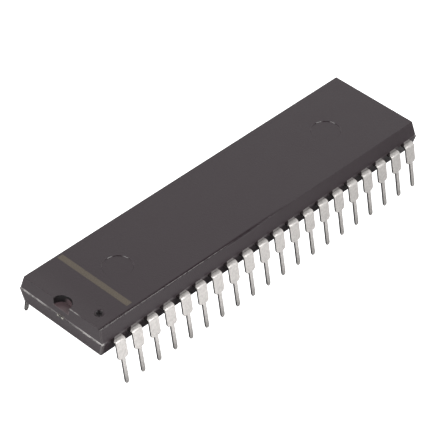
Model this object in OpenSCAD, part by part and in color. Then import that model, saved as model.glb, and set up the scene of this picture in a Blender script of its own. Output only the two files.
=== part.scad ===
// Dual in-line integrated circuit: a moulded body around a stamped lead frame, a die and its bond
// wires. It stands on its lead tips at z = 0 and is centred on x = 0 and y = 0. The notched end
// points to -X. Lead 1 is next to the notch in the near row (-Y), and the numbers run along that
// row to +X and back along the far row.

/* [Lead rows] */
// Number of leads in each row
leads_per_row = 20; // [14:2:26]
// Distance between neighbouring leads
lead_pitch = 2.54; // [2.2:0.02:2.8]
// Thickness of the lead strip
lead_thickness = 0.25; // [0.18:0.01:0.34]
// Width of a lead where it leaves the body
shoulder_width = 1.52; // [1.2:0.02:1.7]
// Distance from the body's parting line to the outer face of a lead at its bend
shoulder_reach = 0.83; // [0.75:0.01:1.5]
// Inner radius of the bend
bend_radius = 0.25; // [0.15:0.01:0.35]
// Angle that a leg leans outwards from the vertical
leg_splay = 9; // [0:0.5:12]
// Height of the step between the wide and the narrow part of a leg above the tips
pin_length = 3.43; // [2.6:0.01:5]
// Width of the narrow part of a leg
pin_width = 0.56; // [0.36:0.02:0.7]
// Radius of the corner where the wide part of a leg ends
step_radius = 0.4; // [0.2:0.02:0.45]
// Width taken off each corner of a tip
tip_chamfer = 0.13; // [0.06:0.01:0.16]
// Length of the chamfer along a tip
tip_chamfer_length = 0.3; // [0.2:0.05:0.8]

/* [Body] */
// Width of the body at the parting line, where its lower half is the larger one
body_width = 13.84; // [13:0.02:15]
// Distance from the middle of the outermost leads to the end of the body
end_margin = 2.1; // [1.5:0.02:3]
// Height of the body's underside above the step in the legs
standoff = 0.55; // [0.4:0.01:1.2]
// Depth of the body below the middle of the lead strip
body_below = 1.91; // [1.6:0.01:2.4]
// Height of the body above the middle of the lead strip
body_above = 1.93; // [1.6:0.01:2.4]
// Amount by which the upper half of the moulding is smaller all round at the parting line
mould_step = 0.06; // [0.02:0.01:0.12]
// Draft of the long sides
side_draft = 16; // [5:0.5:18]
// Draft of the ends
end_draft = 5.5; // [3:0.5:12]
// Radius of the body's four upright corners
corner_radius = 0.12; // [0.08:0.02:0.6]
// Size of the broken edge around the top and the underside
edge_break = 0.05; // [0.03:0.01:0.2]

/* [Moulded marks] */
// Radius of the notch in the end, at the top
notch_radius = 1.32; // [0.8:0.02:1.6]
// Distance that the notch reaches in from the parting line
notch_reach = 1.5; // [0.7:0.02:1.6]
// Depth of the notch below the top
notch_depth = 0.9; // [0.4:0.05:1.2]
// Amount by which the notch is narrower at its floor than at the top, on the radius
notch_taper = 0.2; // [0:0.01:0.3]
// Diameter of the dimple beside lead 1
dimple_diameter = 1.15; // [0.8:0.05:1.6]
// Depth of the dimple
dimple_depth = 0.3; // [0.1:0.01:0.34]
// Distance from the side's parting line to the dimple
dimple_inset = 2.7; // [2:0.02:4]
// Distance between the two ejector marks
ejector_spacing = 34.6; // [20:0.2:40]
// Diameter of an ejector mark
ejector_diameter = 3.6; // [2.4:0.1:5]
// Depth of an ejector mark
ejector_depth = 0.06; // [0.04:0.01:0.3]

/* [Lead frame inside] */
// Number of leads at each end of a row that run to an end of the die paddle
leads_to_end = 5; // [4:1:5]
// Depth of the wide root of a finger inside the body
root_depth = 0.65; // [0.5:0.05:0.8]
// Length over which a root narrows to its finger
root_taper = 0.25; // [0.15:0.05:0.3]
// Width of a finger
finger_width = 0.3; // [0.24:0.02:0.34]
// Gap between neighbouring fingers, and between a finger and a tie bar
finger_gap = 0.2; // [0.16:0.01:0.25]
// Gap between the paddle and the ends of the fingers
paddle_gap = 0.4; // [0.3:0.02:0.5]
// Distance that the paddle lies below the fingers
paddle_downset = 0.38; // [0.3:0.02:0.5]
// Width of a tie bar
tie_width = 0.4; // [0.3:0.02:0.5]
// Width of a tie bar where it reaches the end of the body
tie_end_width = 1.0; // [0.6:0.05:1.4]
// Length of that wide end
tie_end_length = 1.4; // [1:0.1:2]
// Amount by which a cut tie bar stands out of the body
tie_stub = 0.05; // [0.02:0.01:0.1]

/* [Die and wires] */
// Side of the square die
die_size = 4.6; // [4:0.1:5]
// Thickness of the die
die_thickness = 0.38; // [0.3:0.01:0.45]
// Thickness of the pad that holds the die
attach_thickness = 0.04; // [0.02:0.01:0.08]
// Width of paddle left bare around the die
paddle_margin = 0.9; // [0.6:0.05:1.1]
// Distance from the edge of the die to its row of bond pads
pad_inset = 0.15; // [0.1:0.01:0.3]
// Distance from a corner of the die to the first pad beside it
pad_corner = 0.5; // [0.4:0.05:0.8]
// Diameter of a bond wire
wire_diameter = 0.034; // [0.026:0.002:0.05]
// Height of a wire's loop above the straight line between its ends
wire_rise = 0.3; // [0.2:0.02:0.4]
// Diameter of the squashed bond at each end of a wire
bond_diameter = 0.1; // [0.08:0.01:0.14]
// Thickness of that bond
bond_thickness = 0.034; // [0.03:0.002:0.05]
// Distance from the end of a finger to its bond
finger_bond_inset = 0.18; // [0.12:0.01:0.3]

/* [Hidden] */
$fn = 48;
corner_steps = 3;
step_facets = 4;
reach_past = 1;
lead_count = 2 * leads_per_row;

// Heights
underside = pin_length + standoff;
lead_plane = underside + body_below;
body_top = lead_plane + body_above;

// Half sizes of the body at the parting line
half_length = (leads_per_row - 1) * lead_pitch / 2 + end_margin;
half_width = body_width / 2;

// The bend and the leg, as seen along the row
bend_start = half_width + shoulder_reach - bend_radius - lead_thickness;
bend_height = lead_plane - lead_thickness / 2 - bend_radius;
leg_length = (bend_height + bend_radius * sin(leg_splay)) / cos(leg_splay);

// The fan of fingers inside the body
root_end = half_width - root_depth;
finger_start = root_end - root_taper;
lane_pitch = finger_width + finger_gap;
first_lane = tie_width / 2 + finger_gap + finger_width / 2;
paddle_size = die_size + 2 * paddle_margin;
tip_distance = paddle_size / 2 + paddle_gap;
side_count = leads_per_row - 2 * leads_to_end;
elbow_room = 0.35;
elbow_step = (finger_start - tip_distance - 2 * elbow_room) / max(1, side_count / 2 - 1);

// The die stack
paddle_top = lead_plane - paddle_downset + lead_thickness / 2;
die_bottom = paddle_top + attach_thickness;
die_top = die_bottom + die_thickness;
finger_top = lead_plane + lead_thickness / 2;
attach_margin = 0.1;

// The moulded marks
notch_centre = -half_length + notch_reach - notch_radius;
dimple_sphere = (pow(dimple_diameter / 2, 2) + pow(dimple_depth, 2)) / (2 * dimple_depth);

epoxy_colour = [0.31, 0.29, 0.30];
tinned_colour = [0.82, 0.82, 0.79];
frame_colour = [0.72, 0.70, 0.64];
attach_colour = [0.78, 0.78, 0.74];
silicon_colour = [0.36, 0.40, 0.46];
gold_colour = [0.93, 0.76, 0.33];

wire_groups = ["bond_wires_near", "bond_wires_far", "bond_wires_notch_end", "bond_wires_plain_end"];

function lead_name(i) = str("lead_", i < 10 ? "0" : "", i);

// A lead of the near row, by its number from the notched end
function lead_x(i) = (i - (leads_per_row + 1) / 2) * lead_pitch;
function goes_to_notch_end(i) = i <= leads_to_end;
function goes_to_plain_end(i) = i > leads_per_row - leads_to_end;
function side_place(i) = i - (leads_per_row + 1) / 2;

// The end of the finger of a lead of the near row
function finger_tip(i) =
    goes_to_notch_end(i) ? [-tip_distance, -first_lane - (i - 1) * lane_pitch] :
    goes_to_plain_end(i) ? [tip_distance, -first_lane - (leads_per_row - i) * lane_pitch] :
    [side_place(i) * lane_pitch, -tip_distance];

// The corner of a finger that runs to the paddle's long side: the outer ones turn nearest to it
function elbow_depth(i) =
    tip_distance + elbow_room + (side_count / 2 - 0.5 - abs(side_place(i))) * elbow_step;

function finger_path(i) =
    let (start = [lead_x(i), -(finger_start + root_taper / 2)], tip = finger_tip(i))
    goes_to_notch_end(i) || goes_to_plain_end(i)
        ? [start, tip]
        : [start, [tip.x, -elbow_depth(i)], tip];

// The middle of the bond on a finger, and the pad on the die that its wire comes from
function finger_bond(i) =
    let (path = finger_path(i), last = len(path) - 1, along = path[last] - path[last - 1])
    path[last] - along / norm(along) * finger_bond_inset;

function pad_place(place, count) = place * (die_size - 2 * pad_corner) / (count - 1);

function die_pad(i) =
    let (row = die_size / 2 - pad_inset, end_row = 2 * leads_to_end)
    goes_to_notch_end(i) ? [-row, -pad_place(i - 0.5, end_row)] :
    goes_to_plain_end(i) ? [row, -pad_place(leads_per_row - i + 0.5, end_row)] :
    [pad_place(side_place(i), side_count), -row];

// Points of a strip of the given width along a path: one side out, the other side back
function normal_of(a, b) = let (d = (b - a) / norm(b - a)) [-d.y, d.x];
function mitre_at(path, k) =
    let (last = len(path) - 1,
         before = normal_of(path[max(0, k - 1)], path[max(1, k)]),
         after = normal_of(path[min(last - 1, k)], path[min(last, k + 1)]),
         middle = (before + after) / norm(before + after))
    middle / (middle * before);
function strip_points(path, width) =
    concat(
        [for (k = [0 : len(path) - 1]) path[k] + mitre_at(path, k) * width / 2],
        [for (k = [len(path) - 1 : -1 : 0]) path[k] - mitre_at(path, k) * width / 2]);

// Points of a rectangle with rounded corners, and a solid through a stack of such rings
function rounded_ring(hx, hy, z) =
    [for (c = [0 : 3], k = [0 : corner_steps])
        let (a = 90 * c + 90 * k / corner_steps,
             sx = (c == 0 || c == 3) ? 1 : -1,
             sy = c < 2 ? 1 : -1)
        [sx * (hx - corner_radius) + corner_radius * cos(a),
         sy * (hy - corner_radius) + corner_radius * sin(a), z]];

module ring_stack(rings) {
    n = len(rings[0]);
    last = len(rings) - 1;
    polyhedron(
        points = [for (ring = rings) each ring],
        faces = concat(
            [[for (k = [0 : n - 1]) k]],
            [[for (k = [n - 1 : -1 : 0]) last * n + k]],
            [for (level = [0 : last - 1], k = [0 : n - 1])
                [level * n + k, (level + 1) * n + k,
                 (level + 1) * n + (k + 1) % n, level * n + (k + 1) % n]]));
}

// One ring of the body at a height above or below the parting line
function body_ring(height, extra_inset = 0) =
    rounded_ring(
        half_length - abs(height) * tan(end_draft) - extra_inset,
        half_width - abs(height) * tan(side_draft) - extra_inset,
        lead_plane + height);

module body_block() {
    ring_stack([
        body_ring(-body_below, edge_break),
        body_ring(-body_below + edge_break),
        body_ring(0),
        body_ring(0, mould_step),
        body_ring(body_above - edge_break, mould_step),
        body_ring(body_above, mould_step + edge_break)]);
}

module moulded_marks() {
    translate([notch_centre, 0, body_top - notch_depth])
        cylinder(r1 = notch_radius - notch_taper, r2 = notch_radius + notch_taper, h = 2 * notch_depth);
    translate([lead_x(1), -(half_width - dimple_inset), body_top - dimple_depth + dimple_sphere])
        sphere(r = dimple_sphere);
    for (side = [-1, 1])
        translate([side * ejector_spacing / 2, 0, body_top - ejector_depth])
            cylinder(d = ejector_diameter, h = ejector_depth + reach_past);
}

module body() {
    color(epoxy_colour)
        difference() {
            body_block();
            moulded_marks();
            for (i = [1 : lead_count]) lead_solid(i);
            paddle_solid();
            attach_solid();
            die_solid();
            for (group = wire_groups) wire_group_solid(group);
        }
}

// The strip of a lead seen along the row: root, bend and leg, with x pointing outwards
module lead_profile() {
    outer = bend_radius + lead_thickness;
    translate([root_end, lead_plane - lead_thickness / 2])
        square([bend_start - root_end, lead_thickness]);
    translate([bend_start, bend_height]) {
        intersection() {
            difference() {
                circle(r = outer);
                circle(r = bend_radius);
            }
            polygon([[0, 0], 2 * outer * [cos(leg_splay), sin(leg_splay)], [2 * outer, 2 * outer], [0, 2 * outer]]);
        }
        rotate(leg_splay)
            translate([bend_radius, -leg_length])
                square([lead_thickness, leg_length]);
    }
}

// The width of a lead seen from the side of the row: wide, a rounded step, and the narrow pin
module lead_width_outline() {
    half = [
        [shoulder_width / 2, lead_plane + reach_past],
        for (k = [0 : step_facets])
            let (a = 90 * k / step_facets)
            [shoulder_width / 2 - step_radius * (1 - cos(a)), pin_length + step_radius * (1 - sin(a))],
        [pin_width / 2, pin_length],
        [pin_width / 2, tip_chamfer_length],
        [pin_width / 2 - tip_chamfer, 0]];
    polygon(concat(half, [for (k = [len(half) - 1 : -1 : 0]) [-half[k].x, half[k].y]]));
}

// The flat finger of a lead inside the body, seen from above
module finger_outline(i) {
    x = lead_x(i);
    polygon([
        [x - shoulder_width / 2, -root_end], [x + shoulder_width / 2, -root_end],
        [x + finger_width / 2, -finger_start], [x - finger_width / 2, -finger_start]]);
    polygon(strip_points(finger_path(i), finger_width));
}

module near_lead(i) {
    span = half_width + shoulder_reach + lead_plane;
    intersection() {
        translate([lead_x(i) - shoulder_width / 2, 0, 0])
            rotate([90, 0, 90])
                linear_extrude(shoulder_width)
                    mirror([1, 0])
                        lead_profile();
        translate([lead_x(i), 0, 0])
            rotate([90, 0, 0])
                linear_extrude(span)
                    lead_width_outline();
    }
    translate([0, 0, lead_plane - lead_thickness / 2])
        linear_extrude(lead_thickness)
            finger_outline(i);
}

// The far row is the near row turned half round
module lead_solid(i) {
    if (i <= leads_per_row) near_lead(i);
    else rotate(180) near_lead(i - leads_per_row);
}

module lead(i) {
    color(tinned_colour) lead_solid(i);
}

// The strip of the paddle and its tie bars seen from the near side, with the paddle set down
module paddle_profile() {
    bottom = lead_plane - lead_thickness / 2;
    end = half_length + tie_stub;
    low = tip_distance;
    high = tip_distance + paddle_downset;
    polygon([
        [-end, bottom], [-high, bottom], [-low, bottom - paddle_downset],
        [low, bottom - paddle_downset], [high, bottom], [end, bottom],
        [end, bottom + lead_thickness], [high, bottom + lead_thickness],
        [low, bottom - paddle_downset + lead_thickness], [-low, bottom - paddle_downset + lead_thickness],
        [-high, bottom + lead_thickness], [-end, bottom + lead_thickness]]);
}

module paddle_outline() {
    end = half_length + tie_stub;
    square(paddle_size, center = true);
    square([2 * end, tie_width], center = true);
    for (side = [-1, 1])
        translate([side * (end - tie_end_length / 2), 0])
            square([tie_end_length, tie_end_width], center = true);
}

module paddle_solid() {
    intersection() {
        translate([0, paddle_size / 2, 0])
            rotate([90, 0, 0])
                linear_extrude(paddle_size)
                    paddle_profile();
        linear_extrude(body_top)
            paddle_outline();
    }
}

module die_paddle() {
    color(frame_colour) paddle_solid();
}

module attach_solid() {
    side = die_size + 2 * attach_margin;
    translate([-side / 2, -side / 2, paddle_top])
        cube([side, side, attach_thickness]);
}

module die_attach() {
    color(attach_colour) attach_solid();
}

module die_solid() {
    translate([-die_size / 2, -die_size / 2, die_bottom])
        cube([die_size, die_size, die_thickness]);
}

module die() {
    color(silicon_colour) die_solid();
}

// A wire is one arc in an upright plane between two squashed bonds
module wire(i) {
    from = die_pad(i);
    to = finger_bond(i);
    a = [from.x, from.y, die_top + bond_thickness / 2];
    b = [to.x, to.y, finger_top + bond_thickness / 2];
    run = norm(to - from);
    chord = norm(b - a);
    radius = (pow(chord / 2, 2) + pow(wire_rise, 2)) / (2 * wire_rise);
    half_angle = asin(chord / 2 / radius);
    slope = atan2(b.z - a.z, run);
    heading = atan2(to.y - from.y, to.x - from.x);
    translate((a + b) / 2)
        rotate([90, -slope, heading])
            translate([0, wire_rise - radius, 0])
                rotate(90 - half_angle)
                    rotate_extrude(angle = 2 * half_angle)
                        translate([radius, 0])
                            circle(d = wire_diameter);
    translate([a.x, a.y, die_top]) cylinder(d = bond_diameter, h = bond_thickness);
    translate([b.x, b.y, finger_top]) cylinder(d = bond_diameter, h = bond_thickness);
}

module near_wires() {
    for (i = [leads_to_end + 1 : leads_per_row - leads_to_end]) wire(i);
}

module notch_end_wires() {
    for (i = [1 : leads_to_end]) wire(i);
    rotate(180)
        for (i = [leads_per_row - leads_to_end + 1 : leads_per_row]) wire(i);
}

module wire_group_solid(group) {
    if (group == "bond_wires_near") near_wires();
    if (group == "bond_wires_far") rotate(180) near_wires();
    if (group == "bond_wires_notch_end") notch_end_wires();
    if (group == "bond_wires_plain_end") rotate(180) notch_end_wires();
}

module bond_wires(group) {
    color(gold_colour) wire_group_solid(group);
}

body();
for (i = [1 : lead_count])
    lead(i);
die_paddle();
die_attach();
die();
for (group = wire_groups)
    bond_wires(group);
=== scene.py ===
"""Looks of a forty-lead dual in-line integrated circuit, in metres and in the frame of its solids.

The notched end points to -X, lead 1 is in the near row (-Y) beside the notch, and +Z is up from the
plane of the lead tips.
"""

import math

import bmesh
import bpy
from mathutils import Matrix, Vector


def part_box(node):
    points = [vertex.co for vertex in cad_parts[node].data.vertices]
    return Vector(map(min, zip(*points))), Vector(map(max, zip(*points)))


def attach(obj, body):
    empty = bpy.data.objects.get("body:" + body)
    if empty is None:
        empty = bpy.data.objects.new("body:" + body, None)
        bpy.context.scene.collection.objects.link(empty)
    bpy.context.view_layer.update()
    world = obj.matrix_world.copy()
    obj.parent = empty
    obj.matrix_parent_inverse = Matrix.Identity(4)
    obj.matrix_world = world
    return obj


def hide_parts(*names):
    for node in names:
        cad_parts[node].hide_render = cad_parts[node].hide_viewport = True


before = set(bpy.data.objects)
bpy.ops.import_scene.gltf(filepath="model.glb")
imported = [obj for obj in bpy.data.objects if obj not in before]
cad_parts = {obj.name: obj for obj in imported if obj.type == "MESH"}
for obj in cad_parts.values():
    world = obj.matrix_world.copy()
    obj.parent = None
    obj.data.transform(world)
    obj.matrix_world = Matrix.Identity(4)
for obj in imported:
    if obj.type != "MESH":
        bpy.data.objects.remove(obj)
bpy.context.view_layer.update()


# Camera: a long lens over the corner between the notch and lead 1, which keeps the far end of the
# body nearly as large as the near one.
mm = 0.001
view_azimuth = math.radians(-45.22)
view_elevation = math.radians(40.92)
view_distance = 299.0 * mm
lens_length = 203.8
sensor_side = 36
aim_height = 4.23 * mm
aim_right = -0.165 * mm
aim_up = -0.485 * mm

towards_camera = Vector((math.sin(view_azimuth) * math.cos(view_elevation),
                         -math.cos(view_azimuth) * math.cos(view_elevation),
                         math.sin(view_elevation)))
camera_right = Vector((math.cos(view_azimuth), math.sin(view_azimuth), 0))
camera_up = towards_camera.cross(camera_right)
aim_point = Vector((0, 0, aim_height)) + camera_right * aim_right + camera_up * aim_up

camera = bpy.data.objects.new("camera", bpy.data.cameras.new("camera"))
bpy.context.scene.collection.objects.link(camera)
camera.data.lens = lens_length
camera.data.sensor_width = sensor_side
camera.data.clip_start = 10 * mm
camera.data.clip_end = 10
camera.matrix_world = Matrix((camera_right, camera_up, towards_camera)).transposed().to_4x4()
camera.location = aim_point + towards_camera * view_distance
bpy.context.scene.camera = camera
bpy.context.scene.view_settings.view_transform = "Standard"


# Studio: a white table in a bright cove that is dark above the camera, with a soft box to each side of
# it. The table's glow is strongest in front of the notch and stays out from under the part. What the
# camera sees is a copy of the table that glows evenly, with hardly a shadow.
table_side = 3.0
table_colour = (0.85, 0.85, 0.85, 1)
seen_glow = 1.0
open_glow = 0.25
pool_glow = 1.4
pool_place = (-30 * mm, -40 * mm, 0)
pool_radius = 75 * mm
shaded_length = 26 * mm
shaded_width = 9.0 * mm
shade_fade = 4 * mm
cove_brightness = 1.1
dark_brightness = 0.12
dark_middle = Vector((-0.3, -0.3, 0.905))
dark_core = 0.6
dark_rim = 0.35
box_distance = 600 * mm
box_side = 300 * mm
box_elevation = math.radians(42)
boxes = {"left_box": (math.radians(-105), 1.6), "right_box": (math.radians(15), 1.6)}


def add_node(tree, kind, inputs=None, **settings):
    """A shader node with its settings, and its inputs set to values or linked to other sockets."""
    node = tree.nodes.new(kind)
    for setting, value in settings.items():
        setattr(node, setting, value)
    for socket, value in (inputs or {}).items():
        if isinstance(value, bpy.types.NodeSocket):
            tree.links.new(value, node.inputs[socket])
        else:
            node.inputs[socket].default_value = value
    return node


def calculate(tree, operation, first, second=0.0):
    """The result of one sum, each term a number or a socket."""
    return add_node(tree, "ShaderNodeMath", {0: first, 1: second}, operation=operation).outputs[0]


def fade(tree, value, start, end, low=0.0, high=1.0):
    """Goes smoothly from low, where the value is at the start, to high, where it is at the end."""
    return add_node(tree, "ShaderNodeMapRange",
                    {"Value": value, "From Min": start, "From Max": end, "To Min": low, "To Max": high},
                    interpolation_type="SMOOTHSTEP").outputs["Result"]


def axes(tree, place):
    """The X, Y and Z of a place."""
    return add_node(tree, "ShaderNodeSeparateXYZ", {"Vector": place}).outputs


def new_finish(name):
    """A material with its node tree, its surface shader and the place that the nodes work from."""
    finish = bpy.data.materials.new(name)
    finish.use_nodes = True
    place = add_node(finish.node_tree, "ShaderNodeTexCoord").outputs["Object"]
    return finish, finish.node_tree, finish.node_tree.nodes["Principled BSDF"], place


def new_piece(name, mesh, *finishes):
    """An object at the origin that holds the mesh and its finishes."""
    data = bpy.data.meshes.new(name)
    mesh.to_mesh(data)
    mesh.free()
    piece = bpy.data.objects.new(name, data)
    bpy.context.scene.collection.objects.link(piece)
    for finish in finishes:
        data.materials.append(finish)
    return piece


def table(name, seen):
    """A table top that either the camera or the light sees."""
    finish, tree, surface, place = new_finish(name)
    surface.inputs["Base Color"].default_value = table_colour
    surface.inputs["Specular IOR Level"].default_value = 0
    surface.inputs["Emission Color"].default_value = (1, 1, 1, 1)
    surface.inputs["Emission Strength"].default_value = seen_glow
    if not seen:
        from_pool = add_node(tree, "ShaderNodeVectorMath", {0: place, 1: pool_place},
                             operation="DISTANCE").outputs["Value"]
        pool = fade(tree, from_pool, pool_radius, 0, open_glow, pool_glow)
        x, y, z = axes(tree, place)
        beyond = fade(tree, calculate(tree, "ABSOLUTE", x), shaded_length, shaded_length + shade_fade)
        beside = fade(tree, calculate(tree, "ABSOLUTE", y), shaded_width, shaded_width + shade_fade)
        lit = calculate(tree, "MAXIMUM", beyond, beside)
        tree.links.new(calculate(tree, "MULTIPLY", pool, lit), surface.inputs["Emission Strength"])
    mesh = bmesh.new()
    bmesh.ops.create_grid(mesh, x_segments=1, y_segments=1, size=table_side / 2)
    top = new_piece(name, mesh, finish)
    top.visible_camera = seen
    top.visible_diffuse = top.visible_glossy = not seen


table("table", seen=False)
table("seen_table", seen=True)

room = bpy.data.worlds.new("room")
room.use_nodes = True
bpy.context.scene.world = room
direction = add_node(room.node_tree, "ShaderNodeTexCoord").outputs["Generated"]
towards_dark = add_node(room.node_tree, "ShaderNodeVectorMath", {0: direction, 1: dark_middle},
                        operation="DOT_PRODUCT").outputs["Value"]
brightness = fade(room.node_tree, towards_dark, dark_rim, dark_core, cove_brightness, dark_brightness)
room.node_tree.links.new(brightness, room.node_tree.nodes["Background"].inputs["Strength"])
room.node_tree.nodes["Background"].inputs["Color"].default_value = (1, 1, 1, 1)

for box_name, (box_azimuth, box_power) in boxes.items():
    box_light = bpy.data.lights.new(box_name, "AREA")
    box_light.size = box_side
    box_light.energy = box_power
    soft_box = bpy.data.objects.new(box_name, box_light)
    bpy.context.scene.collection.objects.link(soft_box)
    towards_box = Vector((math.sin(box_azimuth) * math.cos(box_elevation),
                          -math.cos(box_azimuth) * math.cos(box_elevation), math.sin(box_elevation)))
    soft_box.location = towards_box * box_distance
    soft_box.rotation_euler = towards_box.to_track_quat("Z", "Y").to_euler()
    soft_box.visible_camera = False


# Body: one block of matt black epoxy, moulded around the lead frame in two mould halves. The lower one
# stands out a little at mid height, and the step there is pale from wear and a painted highlight. The
# notch, a dimple and two ejector marks are moulded in the top, and a khaki stripe is printed on it.
# Painted shade darkens the dimple and the notch, painted light brightens the notch's floor, and painted
# highlights lie along edges of the top.
strip_thickness = 0.25 * mm
shoulder_width = 1.52 * mm
side_draft = math.radians(16)
end_draft = math.radians(5.5)
mould_step = 0.06 * mm
corner_radius = 0.12 * mm
corner_steps = 5
edge_break = 0.05 * mm
break_steps = 3
pale_step_below = 0.02 * mm
pale_step_above = 0.2 * mm
pale_step_near = (-1.5 * mm, -4.5 * mm)
pale_step_far = (0, 4 * mm)
pale_step_end = (-0.5 * mm, -0.2 * mm)
pale_step_patch = 0.7 * mm
middle_share = 0.25
far_share = 0.9
side_share = 0.1
patch_share = 0.45
notch_radius = 1.32 * mm
notch_reach = 1.5 * mm
notch_depth = 0.9 * mm
notch_taper = 0.2 * mm
dimple_diameter = 1.15 * mm
dimple_depth = 0.3 * mm
dimple_inset = 2.7 * mm
ejector_spacing = 34.6 * mm
ejector_diameter = 3.6 * mm
ejector_depth = 0.06 * mm
mark_sides = 64
rim_break = 0.055 * mm
sharp = math.radians(35)
worn_depth = 0.3 * mm
worn_reach = 0.3 * mm
worn_whole = -9 * mm
worn_end = -4.5 * mm
polished_end = 6 * mm
fully_polished = -0.3
polish = 0.24
# The next numbers place painted highlights beside the notch and along the near top edge.
highlight_reach = 0.12 * mm
highlight_near = -3.2 * mm
highlight_far = -1.3 * mm
side_highlight = 0.9
side_highlight_reach = 0.036 * mm
highlight_patch = 0.4 * mm
highlight_least = 0.25
highlight_most = 0.7
soft_edge = 0.08 * mm
dimple_shade_radius = 0.45 * mm
notch_rim_band = 0.22 * mm
burnished_side = Vector((-0.536, -0.532, 0.655))
burnished_from = 0.15 * mm
corner_low_share = 0.15
corner_high_share = 0.06
paling_start = -22.5 * mm
paling_end = -26 * mm
paling_most = 0.02
stripe_middle = -20.75 * mm
stripe_width = 0.85 * mm
stripe_near = -5.6 * mm
stripe_far = 6.0 * mm
stripe_fade = 0.1 * mm
cloud_size = 4 * mm
epoxy_smooth = 0.35
epoxy_rough = 0.41
epoxy_gloss = 0.5
shaded_gloss = 0.2
grain_size = 0.09 * mm
grain_depth = 0.012 * mm
fleck_size = 0.16 * mm
epoxy_dark = (0.025, 0.0145, 0.019, 1)
epoxy_light = (0.033, 0.0215, 0.0265, 1)
# The next colour is pale wear with a painted highlight, on the step, the edges and the corners of the
# body.
rubbed_and_highlight_colour = (0.46, 0.44, 0.43, 1)
# The next colour is painted shade for the dimple and the notch.
painted_shade_colour = (0.010, 0.008, 0.009, 1)
# The next colour is painted light for the floor of the notch.
notch_light_colour = (0.105, 0.072, 0.078, 1)
ink_colour = (0.118, 0.094, 0.066, 1)
ink_worn = (0.072, 0.056, 0.040, 1)

body_low, body_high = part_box("body")
lead_low, lead_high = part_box("lead_01")
lead_1_x = lead_low.x + shoulder_width / 2
parting_height = lead_high.z - strip_thickness / 2
half_length, half_width = body_high.x, body_high.y
upper_height = body_high.z - parting_height
top_half_length = half_length - mould_step - upper_height * math.tan(end_draft)
top_half_width = half_width - mould_step - upper_height * math.tan(side_draft)


def extruded(mesh, face, keep_face):
    """The new face of an extrusion. The face that it grew from stays only where it closes the block."""
    grown = bmesh.ops.extrude_face_region(mesh, geom=[face])["geom"]
    if not keep_face:
        bmesh.ops.delete(mesh, geom=[face], context="FACES_ONLY")
    return next(item for item in grown if isinstance(item, bmesh.types.BMFace))


def sharp_edges(mesh):
    """The edges of a mesh that stand out sharply."""
    mesh.normal_update()
    return [edge for edge in mesh.edges
            if edge.is_manifold and edge.is_convex and edge.calc_face_angle() > sharp]


def round_edges(mesh, edges, width, steps):
    """Rounds the given edges of a mesh and returns the new faces."""
    return bmesh.ops.bevel(mesh, geom=edges, offset=width, offset_type="OFFSET", segments=steps,
                           profile=0.5, affect="EDGES", clamp_overlap=False, material=-1)["faces"]


def cut_away(mesh, tool):
    """The mesh with the shape of another one cut out of it."""
    whole, cutter = new_piece("whole", mesh), new_piece("cutter", tool)
    cut = whole.modifiers.new("cut", "BOOLEAN")
    cut.operation, cut.solver, cut.object = "DIFFERENCE", "EXACT", cutter
    result = bmesh.new()
    result.from_mesh(whole.evaluated_get(bpy.context.evaluated_depsgraph_get()).data)
    for used in (whole, cutter):
        bpy.data.objects.remove(used)
    return result


def body_block():
    """The outline at the parting line, with rounded corners, extruded up through the body's levels."""
    mesh = bmesh.new()
    bmesh.ops.create_grid(mesh, x_segments=1, y_segments=1, size=1)
    bmesh.ops.scale(mesh, vec=(half_length, half_width, 1), verts=mesh.verts)
    bmesh.ops.bevel(mesh, geom=mesh.verts[:], offset=corner_radius, segments=corner_steps, profile=0.5,
                    affect="VERTICES", material=-1)
    face = mesh.faces[:][0]
    outline = [corner.co.copy() for corner in face.verts]
    levels = ((body_low.z, 0), (parting_height - pale_step_below, 0), (parting_height, 0),
              (parting_height, mould_step), (parting_height + pale_step_above, mould_step),
              (body_high.z, mould_step))
    for step, (height, inset) in enumerate(levels):
        if step:
            face = extruded(mesh, face, keep_face=step == 1)
        rise = abs(height - parting_height)
        along = 1 - (inset + rise * math.tan(end_draft)) / half_length
        across = 1 - (inset + rise * math.tan(side_draft)) / half_width
        for corner, place in zip(face.verts, outline):
            corner.co = (place.x * along, place.y * across, height)
    return mesh


def notch_tool():
    """The tapered stub of the mould that leaves the notch."""
    mesh = bmesh.new()
    bmesh.ops.create_cone(mesh, cap_ends=True, segments=mark_sides, depth=2 * notch_depth,
                          radius1=notch_radius - notch_taper, radius2=notch_radius + notch_taper)
    notch_place = (notch_reach - notch_radius - half_length, 0, body_high.z)
    bmesh.ops.translate(mesh, vec=notch_place, verts=mesh.verts)
    return mesh


def mark_tools():
    """The shallow stamps of the mould: a ball for the dimple and the faces of two ejector pins."""
    mesh = bmesh.new()
    ball = ((dimple_diameter / 2) ** 2 + dimple_depth ** 2) / (2 * dimple_depth)
    dimple_place = (lead_1_x, dimple_inset - half_width, body_high.z - dimple_depth + ball)
    bmesh.ops.create_uvsphere(mesh, u_segments=mark_sides, v_segments=mark_sides, radius=ball,
                              matrix=Matrix.Translation(dimple_place))
    for side in (-1, 1):
        pin_place = (side * ejector_spacing / 2, 0, body_high.z)
        bmesh.ops.create_cone(mesh, cap_ends=True, segments=mark_sides, depth=2 * ejector_depth,
                              radius1=ejector_diameter / 2, radius2=ejector_diameter / 2,
                              matrix=Matrix.Translation(pin_place))
    return mesh


def blend_colour(tree, share, first, second):
    """A colour between two others, each a colour or a socket."""
    return add_node(tree, "ShaderNodeMix", {0: share, 6: first, 7: second}, data_type="RGBA").outputs[2]


def noise(tree, place, size, detail=2.0):
    """Cloudy variation from 0 to 1, with features of the given size."""
    clouds = {"Vector": place, "Scale": 1 / size, "Detail": detail}
    return add_node(tree, "ShaderNodeTexNoise", clouds).outputs["Fac"]


def vary(tree, cloud, low=0.0, high=1.0):
    """Goes from low to high with the middle part of a cloudy variation, where most of it lies."""
    return fade(tree, cloud, 0.3, 0.7, low, high)


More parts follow.
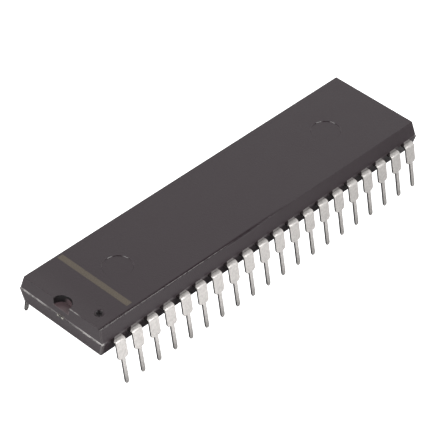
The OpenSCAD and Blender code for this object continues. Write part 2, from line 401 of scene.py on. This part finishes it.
def set_relief(tree, surface, height, strength, depth):
    """Gives a surface shader fine relief from a height."""
    bump = add_node(tree, "ShaderNodeBump", {"Height": height, "Strength": strength, "Distance": depth})
    tree.links.new(bump.outputs["Normal"], surface.inputs["Normal"])


def stripe_share(tree, place):
    """How much of the printed stripe covers a place on the top."""
    x, y, z = axes(tree, place)
    ragged = calculate(tree, "MULTIPLY", noise(tree, place, 0.15 * mm), stripe_fade)
    from_middle = calculate(tree, "ABSOLUTE", calculate(tree, "SUBTRACT", x, stripe_middle))
    centre = (stripe_near + stripe_far) / 2
    from_centre = calculate(tree, "ABSOLUTE", calculate(tree, "SUBTRACT", y, centre))
    across = fade(tree, calculate(tree, "ADD", from_middle, ragged), stripe_width / 2 + stripe_fade,
                  stripe_width / 2 - stripe_fade / 2)
    half_stripe = (stripe_far - stripe_near) / 2
    along = fade(tree, calculate(tree, "ADD", from_centre, ragged), half_stripe + stripe_fade,
                 half_stripe - stripe_fade)
    on_top = calculate(tree, "GREATER_THAN", z, body_high.z - edge_break / 10)
    return calculate(tree, "MULTIPLY", calculate(tree, "MULTIPLY", across, along), on_top)


def worn_height(tree, place):
    """The wear of the near top edge, which softens it from the notched end to past its middle."""
    x, y, z = axes(tree, place)
    on_top = fade(tree, calculate(tree, "ADD", y, top_half_width), -worn_reach, worn_reach)
    on_side = fade(tree, calculate(tree, "SUBTRACT", body_high.z, z), -worn_reach, worn_reach)
    below_faces = calculate(tree, "SUBTRACT", calculate(tree, "MAXIMUM", on_top, on_side), 1)
    return calculate(tree, "MULTIPLY", below_faces, fade(tree, x, polished_end, worn_end))


def painted_highlight_share(tree, place):
    """How pale a place is painted as a highlight: on the top edge beside the notch, and along the near
    top edge.
    """
    x, y, z = axes(tree, place)
    near_top = fade(tree, calculate(tree, "SUBTRACT", body_high.z, z), highlight_reach, 0)
    at_end = fade(tree, calculate(tree, "ADD", x, top_half_length), highlight_reach, 0)
    beside_notch = calculate(tree, "MULTIPLY", fade(tree, y, highlight_near, highlight_near + 4 * highlight_reach),
                             fade(tree, y, highlight_far + highlight_reach, highlight_far))
    on_side = fade(tree, calculate(tree, "ADD", y, top_half_width), side_highlight_reach, 0, 0, side_highlight)
    along_side = calculate(tree, "MULTIPLY", on_side, fade(tree, x, worn_end, worn_whole))
    scuffed = calculate(tree, "MAXIMUM", calculate(tree, "MULTIPLY", at_end, beside_notch), along_side)
    patches = fade(tree, noise(tree, place, highlight_patch), 0.3, 0.6, highlight_least, highlight_most)
    return calculate(tree, "MULTIPLY", calculate(tree, "MULTIPLY", scuffed, near_top), patches)


def within_notch(tree, x, y):
    """Whether a place lies within the wall of the notch."""
    across = fade(tree, calculate(tree, "ABSOLUTE", y), notch_radius, notch_radius - soft_edge)
    along = calculate(tree, "LESS_THAN", x, notch_reach - half_length + soft_edge)
    return calculate(tree, "MULTIPLY", across, along)


def painted_shade_share(tree, place):
    """How much painted shade lies at a place: in the dimple, at the notch's rim and on its far wall."""
    x, y, z = axes(tree, place)
    sunk = fade(tree, z, body_high.z - soft_edge / 16, body_high.z - soft_edge / 3)
    shade_place = (lead_1_x + soft_edge, dimple_inset - half_width + soft_edge, body_high.z)
    from_dimple = add_node(tree, "ShaderNodeVectorMath", {0: place, 1: shade_place},
                           operation="DISTANCE").outputs["Value"]
    in_dimple = fade(tree, from_dimple, dimple_shade_radius, dimple_shade_radius - soft_edge)
    floor_height = body_high.z - notch_depth
    off_floor = fade(tree, z, floor_height, floor_height + 2 * soft_edge)
    rim = fade(tree, z, body_high.z - notch_rim_band - soft_edge, body_high.z - notch_rim_band)
    far_wall = fade(tree, y, 0, notch_radius / 2)
    on_wall = calculate(tree, "MULTIPLY", off_floor, calculate(tree, "MAXIMUM", rim, far_wall))
    in_notch = calculate(tree, "MULTIPLY", within_notch(tree, x, y), on_wall)
    return calculate(tree, "MULTIPLY", sunk, calculate(tree, "MAXIMUM", in_dimple, in_notch))


def notch_light_share(tree, place):
    """How much painted light lies at a place: on the floor of the notch and low on its wall."""
    x, y, z = axes(tree, place)
    below_rim = fade(tree, z, body_high.z - notch_rim_band, body_high.z - 2 * notch_rim_band)
    above_floor = calculate(tree, "GREATER_THAN", z, body_high.z - notch_depth - soft_edge)
    low_down = calculate(tree, "MULTIPLY", below_rim, above_floor)
    inside = fade(tree, calculate(tree, "ADD", x, half_length), 2 * mould_step, 3 * mould_step)
    in_notch = calculate(tree, "MULTIPLY", within_notch(tree, x, y), inside)
    return calculate(tree, "MULTIPLY", in_notch, low_down)


def corner_wear_and_highlight_share(tree, place):
    """How pale a place is near the upright corners, palest on the lower half: wear with a painted
    highlight.
    """
    x, y, z = axes(tree, place)
    rise = calculate(tree, "ABSOLUTE", calculate(tree, "SUBTRACT", z, parting_height))
    drafted = calculate(tree, "MULTIPLY", rise, math.tan(side_draft) + math.tan(end_draft))
    outwards = calculate(tree, "ADD", calculate(tree, "ABSOLUTE", x), calculate(tree, "ABSOLUTE", y))
    reach = half_length + half_width - 2 * mould_step
    worn = fade(tree, calculate(tree, "ADD", outwards, drafted), reach - 2 * corner_radius,
                reach - corner_radius)
    on_half = fade(tree, z, parting_height - mould_step, parting_height, corner_low_share,
                   corner_high_share)
    return calculate(tree, "MULTIPLY", worn, on_half)


def end_paling_share(tree, place):
    """How much paler a place on the top is towards the notched end."""
    x, y, z = axes(tree, place)
    towards_end = fade(tree, x, paling_start, paling_end, 0, paling_most)
    on_top = fade(tree, z, body_high.z - soft_edge, body_high.z)
    return calculate(tree, "MULTIPLY", towards_end, on_top)


def matt_epoxy():
    """Matt epoxy with the fine grain of a spark-worn mould, a printed stripe, wear, and painted shade,
    light and highlights.
    """
    finish, tree, surface, place = new_finish("matt_epoxy")
    cloud = noise(tree, place, cloud_size, 3.0)
    grain = noise(tree, place, grain_size)
    flecks = add_node(tree, "ShaderNodeTexVoronoi", {"Vector": place, "Scale": 1 / fleck_size})
    ink = blend_colour(tree, fade(tree, grain, 0.35, 0.65), ink_worn, ink_colour)
    colour = blend_colour(tree, cloud, epoxy_dark, epoxy_light)
    colour = blend_colour(tree, stripe_share(tree, place), colour, ink)
    # Painted highlights on the top edges, and wear with painted highlights on the upright corners, make
    # places pale.
    pale = calculate(tree, "MAXIMUM", painted_highlight_share(tree, place), corner_wear_and_highlight_share(tree, place))
    pale = calculate(tree, "MAXIMUM", pale, end_paling_share(tree, place))
    colour = blend_colour(tree, pale, colour, rubbed_and_highlight_colour)
    # Painted light: the notch's floor and low wall are coloured paler, as if lit like the end face.
    colour = blend_colour(tree, notch_light_share(tree, place), colour, notch_light_colour)
    # Painted shade: the dimple and the notch's rim and far wall are coloured darker and made less
    # glossy.
    painted_shade = painted_shade_share(tree, place)
    tree.links.new(blend_colour(tree, painted_shade, colour, painted_shade_colour), surface.inputs["Base Color"])
    gloss = fade(tree, painted_shade, 0, 1, epoxy_gloss, shaded_gloss)
    tree.links.new(gloss, surface.inputs["Specular IOR Level"])
    worn_down = worn_height(tree, place)
    polished = fade(tree, worn_down, 0, fully_polished, 0, polish)
    roughness = calculate(tree, "SUBTRACT", vary(tree, cloud, epoxy_smooth, epoxy_rough), polished)
    tree.links.new(roughness, surface.inputs["Roughness"])
    worn = add_node(tree, "ShaderNodeBump", {"Height": worn_down, "Distance": worn_depth})
    relief = calculate(tree, "ADD", grain, flecks.outputs["Distance"])
    bump = add_node(tree, "ShaderNodeBump", {"Height": relief, "Strength": 0.5, "Distance": grain_depth,
                                             "Normal": worn.outputs["Normal"]})
    tree.links.new(bump.outputs["Normal"], surface.inputs["Normal"])
    return finish


def rubbed_and_highlit_epoxy():
    """The step at the parting line, pale from wear and a painted highlight, palest on the ends of the
    body and near their corners.
    """
    finish, tree, surface, place = new_finish("rubbed_and_highlit_epoxy")
    x, y, z = axes(tree, place)
    patches = fade(tree, noise(tree, place, pale_step_patch, 4.0), 0.38, 0.6)
    past_end = calculate(tree, "SUBTRACT", calculate(tree, "ABSOLUTE", x), half_length)
    on_end = fade(tree, past_end, *pale_step_end, side_share, 1)
    near_corner = calculate(tree, "MAXIMUM", fade(tree, y, *pale_step_near, middle_share, 1),
                            fade(tree, y, *pale_step_far, 0, far_share))
    share = calculate(tree, "MULTIPLY", calculate(tree, "MULTIPLY", on_end, near_corner),
                      fade(tree, patches, 0, 1, patch_share, 1))
    tree.links.new(blend_colour(tree, share, epoxy_light, rubbed_and_highlight_colour), surface.inputs["Base Color"])
    surface.inputs["Roughness"].default_value = 0.28
    set_relief(tree, surface, noise(tree, place, grain_size), 0.3, grain_depth)
    return finish


def burnished_epoxy():
    """The smooth rims that the mould's stamps leave around the marks in the top."""
    finish, tree, surface, place = new_finish("burnished_epoxy")
    cloud = noise(tree, place, 0.5 * mm)
    tree.links.new(blend_colour(tree, cloud, epoxy_dark, epoxy_light), surface.inputs["Base Color"])
    tree.links.new(vary(tree, cloud, 0.12, 0.2), surface.inputs["Roughness"])
    return finish


block = body_block()
round_edges(block, sharp_edges(block), edge_break, break_steps)
block = cut_away(cut_away(block, notch_tool()), mark_tools())
rim_edges = [edge for edge in sharp_edges(block)
             if min(corner.co.z for corner in edge.verts) > body_high.z - edge_break / 10]
dimple_centre = Vector((lead_1_x, dimple_inset - half_width, body_high.z))
rims = set()
# Only one side of the dimple's rim is burnished; the rest stays dull beside the painted shade in the
# dimple.
for face in round_edges(block, rim_edges, rim_break, 1):
    middle = face.calc_center_median()
    at_dimple = (middle - dimple_centre).length < dimple_diameter
    on_burnished_side = (middle - dimple_centre).dot(burnished_side) > burnished_from
    if middle.x > notch_reach - half_length + rim_break and (on_burnished_side or not at_dimple):
        rims.add(face)
for face in block.faces:
    face.smooth = True
    below_step = parting_height - face.calc_center_median().z
    face.material_index = 2 if face in rims else int(-pale_step_above < below_step < pale_step_below)
body = new_piece("moulded_body", block, matt_epoxy(), rubbed_and_highlit_epoxy(), burnished_epoxy())
body.data.set_sharp_from_angle(angle=sharp)
body.modifiers.new("flat_faces", "WEIGHTED_NORMAL").keep_sharp = True
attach(body, "root")
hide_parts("body")


# Leads: forty strips stamped from an iron-nickel sheet, held by the body at its parting line. The punch
# rolls the edges of their outer faces over and leaves their sides and tips sheared, which are coloured
# darker still as painted shade. They are tin-plated outside the body and bent down. Where each leaves
# the body, a painted reflection of the dark body darkens the tin, with a dark line at its edge, and a
# dark patch lies at the inner corner of each shoulder.
lead_count = 40
weld_distance = 0.001 * mm
flat_angle = math.radians(1)
rolled_round = 0.08 * mm
rolled_steps = 4
stamped_round = 0.025 * mm
stamped_steps = 2
near_body_band_end = 7.1 * mm
lead_pitch = 2.54 * mm
outer_facing = 0.9
side_facing = 0.3
sheared_and_shaded_facing = 0.9
dark_patch_reach = 0.48 * mm
dark_patch_edge = 0.05 * mm
tin_cloud = 0.3 * mm
tin_grain = 0.12 * mm
band_softness = 0.02 * mm
band_wander = 0.08 * mm
line_patch = 0.14 * mm
line_edge = 0.045 * mm
dark_patch_colour = (0.045, 0.034, 0.036, 1)
tin_dark = (0.585, 0.56, 0.54, 1)
tin_light = (0.705, 0.675, 0.65, 1)
body_reflection_colour = (0.50, 0.47, 0.46, 1)
dark_line_colour = (0.16, 0.15, 0.14, 1)
sheared_and_shaded_dark = (0.012, 0.012, 0.011, 1)
sheared_and_shaded_light = (0.07, 0.07, 0.067, 1)


def joined_copy(node):
    """A copy of a solid with its loose triangles joined into whole faces."""
    mesh = bmesh.new()
    mesh.from_mesh(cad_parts[node].data)
    bmesh.ops.remove_doubles(mesh, verts=mesh.verts, dist=weld_distance)
    bmesh.ops.dissolve_limit(mesh, angle_limit=flat_angle, verts=mesh.verts, edges=mesh.edges)
    return mesh


def rolled_edges(mesh):
    """The sharp edges around the outer face of a lead."""
    edges = []
    for edge in sharp_edges(mesh):
        outwards = Vector((0, math.copysign(1, edge.verts[0].co.y), 1))
        lower, higher = sorted(face.normal.dot(outwards) for face in edge.link_faces)
        if lower < side_facing and higher > outer_facing:
            edges.append(edge)
    return edges


def dark_patch_share(tree, place):
    """How dark a place is: a patch at the inner corner of each shoulder, and all that the body holds."""
    x, y, z = axes(tree, place)
    from_lead_1 = calculate(tree, "ADD", calculate(tree, "SUBTRACT", x, lead_1_x), lead_pitch / 2)
    from_gap = calculate(tree, "FLOORED_MODULO", from_lead_1, lead_pitch)
    from_middle = calculate(tree, "SUBTRACT", from_gap, lead_pitch / 2)
    along = calculate(tree, "MULTIPLY", from_middle, calculate(tree, "SIGN", y))
    from_side = calculate(tree, "SUBTRACT", shoulder_width / 2, along)
    from_body = calculate(tree, "SUBTRACT", calculate(tree, "ABSOLUTE", y), half_width)
    from_corner = calculate(tree, "ADD", from_side, from_body)
    return fade(tree, from_corner, dark_patch_reach + dark_patch_edge, dark_patch_reach - dark_patch_edge)


def tin_plate():
    """Tin plating, a little uneven, with a painted reflection of the dark body where the strip leaves
    it, a dark line beside that and a dark patch at each shoulder's inner corner.
    """
    finish, tree, surface, place = new_finish("tin_plate")
    x, y, z = axes(tree, place)
    cloud = noise(tree, place, tin_cloud, 4.0)
    grain = noise(tree, place, tin_grain, 3.0)
    colour = blend_colour(tree, vary(tree, cloud), tin_dark, tin_light)
    from_line = calculate(tree, "SUBTRACT", calculate(tree, "ABSOLUTE", y), near_body_band_end)
    wander = calculate(tree, "MULTIPLY", calculate(tree, "SUBTRACT", grain, 0.5), band_wander)
    from_line = calculate(tree, "ADD", from_line, wander)
    # Painted reflection: the tin is darker in a band where the strip leaves the body, with a dark line
    # at its edge.
    colour = blend_colour(tree, fade(tree, from_line, band_softness, -band_softness), colour, body_reflection_colour)
    line = fade(tree, calculate(tree, "ABSOLUTE", from_line), line_edge, band_softness)
    line = calculate(tree, "MULTIPLY", line, fade(tree, noise(tree, place, line_patch), 0.38, 0.5))
    colour = blend_colour(tree, line, colour, dark_line_colour)
    colour = blend_colour(tree, dark_patch_share(tree, place), colour, dark_patch_colour)
    tree.links.new(colour, surface.inputs["Base Color"])
    surface.inputs["Metallic"].default_value = 0.5
    tree.links.new(vary(tree, grain, 0.3, 0.42), surface.inputs["Roughness"])
    set_relief(tree, surface, grain, 0.4, 0.02 * mm)
    return finish


def sheared_and_shaded_metal():
    """The dull face that the punch leaves, torn into fine streaks through the strip's thickness, and
    darkened by painted shade.
    """
    finish, tree, surface, place = new_finish("sheared_and_shaded_metal")
    streaks = noise(tree, place, 0.08 * mm, 3.0)
    colour = blend_colour(tree, vary(tree, streaks), sheared_and_shaded_dark, sheared_and_shaded_light)
    tree.links.new(colour, surface.inputs["Base Color"])
    surface.inputs["Metallic"].default_value = 0.8
    surface.inputs["Roughness"].default_value = 0.55
    set_relief(tree, surface, streaks, 0.5, 0.02 * mm)
    return finish


tin, sheared_and_shaded = tin_plate(), sheared_and_shaded_metal()
for number in range(1, lead_count + 1):
    strip = joined_copy(f"lead_{number:02d}")
    round_edges(strip, rolled_edges(strip), rolled_round, rolled_steps)
    round_edges(strip, sharp_edges(strip), stamped_round, stamped_steps)
    strip.normal_update()
    for face in strip.faces:
        face.smooth = True
        # The sheared sides and tips take the dark finish, which adds painted shade to the sheared metal.
        face.material_index = int(abs(face.normal.x) > sheared_and_shaded_facing or face.normal.z < -sheared_and_shaded_facing)
    lead = new_piece(f"tinned_lead_{number:02d}", strip, tin, sheared_and_shaded)
    lead.data.set_sharp_from_angle(angle=sharp)
    lead.modifiers.new("flat_faces", "WEIGHTED_NORMAL").keep_sharp = True
    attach(lead, "root")
    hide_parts(f"lead_{number:02d}")


# Die paddle: a square of the same sheet under the die, with a tie bar to each end of the body. The
# bars are cut off nearly flush after moulding. Each cut end is coloured dark in its middle, and its
# two bright corners show under the notch.
bar_round = 0.02 * mm
cut_middle_half = 0.2 * mm
cut_middle_edge = 0.08 * mm
line_size = 0.06 * mm
rolling_stretch = 0.08
frame_dark = (0.42, 0.40, 0.36, 1)
frame_light = (0.60, 0.58, 0.53, 1)
cut_middle_colour = (0.12, 0.115, 0.11, 1)


def rolled_strip():
    """Bare rolled strip with fine lines along the rolling direction."""
    finish, tree, surface, place = new_finish("rolled_strip")
    drawn_out = add_node(tree, "ShaderNodeMapping", {"Vector": place, "Scale": (rolling_stretch, 1, 1)})
    lines = noise(tree, drawn_out.outputs["Vector"], line_size, 3.0)
    x, y, z = axes(tree, place)
    at_cut = calculate(tree, "GREATER_THAN", calculate(tree, "ABSOLUTE", x), half_length)
    cut_middle = fade(tree, calculate(tree, "ABSOLUTE", y), cut_middle_half + cut_middle_edge, cut_middle_half)
    colour = blend_colour(tree, lines, frame_dark, frame_light)
    colour = blend_colour(tree, calculate(tree, "MULTIPLY", at_cut, cut_middle), colour, cut_middle_colour)
    tree.links.new(colour, surface.inputs["Base Color"])
    surface.inputs["Metallic"].default_value = 1.0
    tree.links.new(vary(tree, lines, 0.26, 0.42), surface.inputs["Roughness"])
    set_relief(tree, surface, lines, 0.3, 0.01 * mm)
    return finish


bars = joined_copy("die_paddle")
round_edges(bars, sharp_edges(bars), bar_round, stamped_steps)
for face in bars.faces:
    face.smooth = True
paddle = new_piece("paddle_and_tie_bars", bars, rolled_strip())
paddle.data.set_sharp_from_angle(angle=sharp)
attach(paddle, "root")
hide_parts("die_paddle")


# Die attach: a pad of silver-filled epoxy between the die and the paddle, stamped on wet and cured.
# It is dull grey, with silver flakes in it.
paste_dark = (0.40, 0.40, 0.38, 1)
paste_light = (0.66, 0.66, 0.63, 1)
flake_size = 0.03 * mm


def dress(node, finish):
    """Gives a solid that stays in the scene its finish."""
    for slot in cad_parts[node].material_slots:
        slot.material = finish


def silver_paste():
    """Dull grey resin, crowded with flakes that lie at different angles."""
    finish, tree, surface, place = new_finish("silver_paste")
    flakes = add_node(tree, "ShaderNodeTexVoronoi", {"Vector": place, "Scale": 1 / flake_size})
    shade = axes(tree, flakes.outputs["Color"])["X"]
    tree.links.new(blend_colour(tree, shade, paste_dark, paste_light), surface.inputs["Base Color"])
    surface.inputs["Metallic"].default_value = 0.3
    tree.links.new(fade(tree, shade, 0, 1, 0.35, 0.6), surface.inputs["Roughness"])
    set_relief(tree, surface, flakes.outputs["Distance"], 0.4, 0.005 * mm)
    return finish


dress("die_attach", silver_paste())


# Die: a square of polished silicon with its circuits etched in the top in blocks, inside a bare border
# where the saw ran. Ten aluminium pads lie along each of its four sides for the bond wires.
pad_pitch = 0.4 * mm
pad_inset = 0.15 * mm
pad_side = 0.12 * mm
pad_row_half = 2.0 * mm
border = 0.06 * mm
block_size = 0.9 * mm
track_size = 0.03 * mm
silicon_colour = (0.13, 0.14, 0.16, 1)
circuit_dark = (0.05, 0.09, 0.13, 1)
circuit_light = (0.22, 0.20, 0.16, 1)
pad_colour = (0.86, 0.86, 0.87, 1)

die_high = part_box("die")[1]


def die_surface():
    """Circuit blocks with fine tracks, aluminium pads along the sides, and bare silicon elsewhere."""
    finish, tree, surface, place = new_finish("die_surface")
    x, y, z = axes(tree, place)
    from_x, from_y = calculate(tree, "ABSOLUTE", x), calculate(tree, "ABSOLUTE", y)
    outer, inner = calculate(tree, "MAXIMUM", from_x, from_y), calculate(tree, "MINIMUM", from_x, from_y)
    etched = calculate(tree, "MULTIPLY", calculate(tree, "LESS_THAN", outer, die_high.x - border),
                       calculate(tree, "GREATER_THAN", z, die_high.z - border / 10))
    off_row = calculate(tree, "ABSOLUTE", calculate(tree, "SUBTRACT", outer, die_high.x - pad_inset))
    in_row = calculate(tree, "PINGPONG", inner, pad_pitch / 2)
    off_pad = calculate(tree, "MAXIMUM", off_row, calculate(tree, "SUBTRACT", pad_pitch / 2, in_row))
    on_pad = calculate(tree, "MULTIPLY", calculate(tree, "LESS_THAN", off_pad, pad_side / 2),
                       calculate(tree, "LESS_THAN", inner, pad_row_half))
    on_pad = calculate(tree, "MULTIPLY", on_pad, etched)
    blocks = add_node(tree, "ShaderNodeTexVoronoi",
                      {"Vector": place, "Scale": 1 / block_size, "Randomness": 0.7},
                      distance="CHEBYCHEV").outputs["Color"]
    tracks = add_node(tree, "ShaderNodeTexVoronoi",
                      {"Vector": place, "Scale": 1 / track_size, "Randomness": 0.4},
                      distance="MANHATTAN").outputs["Distance"]
    circuit = calculate(tree, "MULTIPLY", axes(tree, blocks)["X"], fade(tree, tracks, 0.1, 0.5, 0.4, 1))
    circuit_colour = blend_colour(tree, circuit, circuit_dark, circuit_light)
    colour = blend_colour(tree, etched, silicon_colour, circuit_colour)
    tree.links.new(blend_colour(tree, on_pad, colour, pad_colour), surface.inputs["Base Color"])
    surface.inputs["Metallic"].default_value = 0.8
    tree.links.new(fade(tree, circuit, 0, 1, 0.12, 0.35), surface.inputs["Roughness"])
    set_relief(tree, surface, tracks, 0.2, 0.002 * mm)
    return finish


dress("die", die_surface())


# Bond wires: forty drawn gold wires, each welded to a pad on the die and looped over to the finger of
# one lead. The epoxy holds them once it is moulded.
gold_dark = (0.78, 0.47, 0.10, 1)
gold_light = (0.95, 0.67, 0.22, 1)


def drawn_gold():
    """Bright gold, clouded a little along the wire by the drawing die."""
    finish, tree, surface, place = new_finish("drawn_gold")
    cloud = noise(tree, place, 0.12 * mm, 3.0)
    tree.links.new(blend_colour(tree, cloud, gold_dark, gold_light), surface.inputs["Base Color"])
    surface.inputs["Metallic"].default_value = 1.0
    tree.links.new(vary(tree, cloud, 0.18, 0.34), surface.inputs["Roughness"])
    set_relief(tree, surface, noise(tree, place, 0.02 * mm), 0.2, 0.001 * mm)
    return finish


gold = drawn_gold()
for side_name in ("near", "far", "notch_end", "plain_end"):
    dress(f"bond_wires_{side_name}", gold)
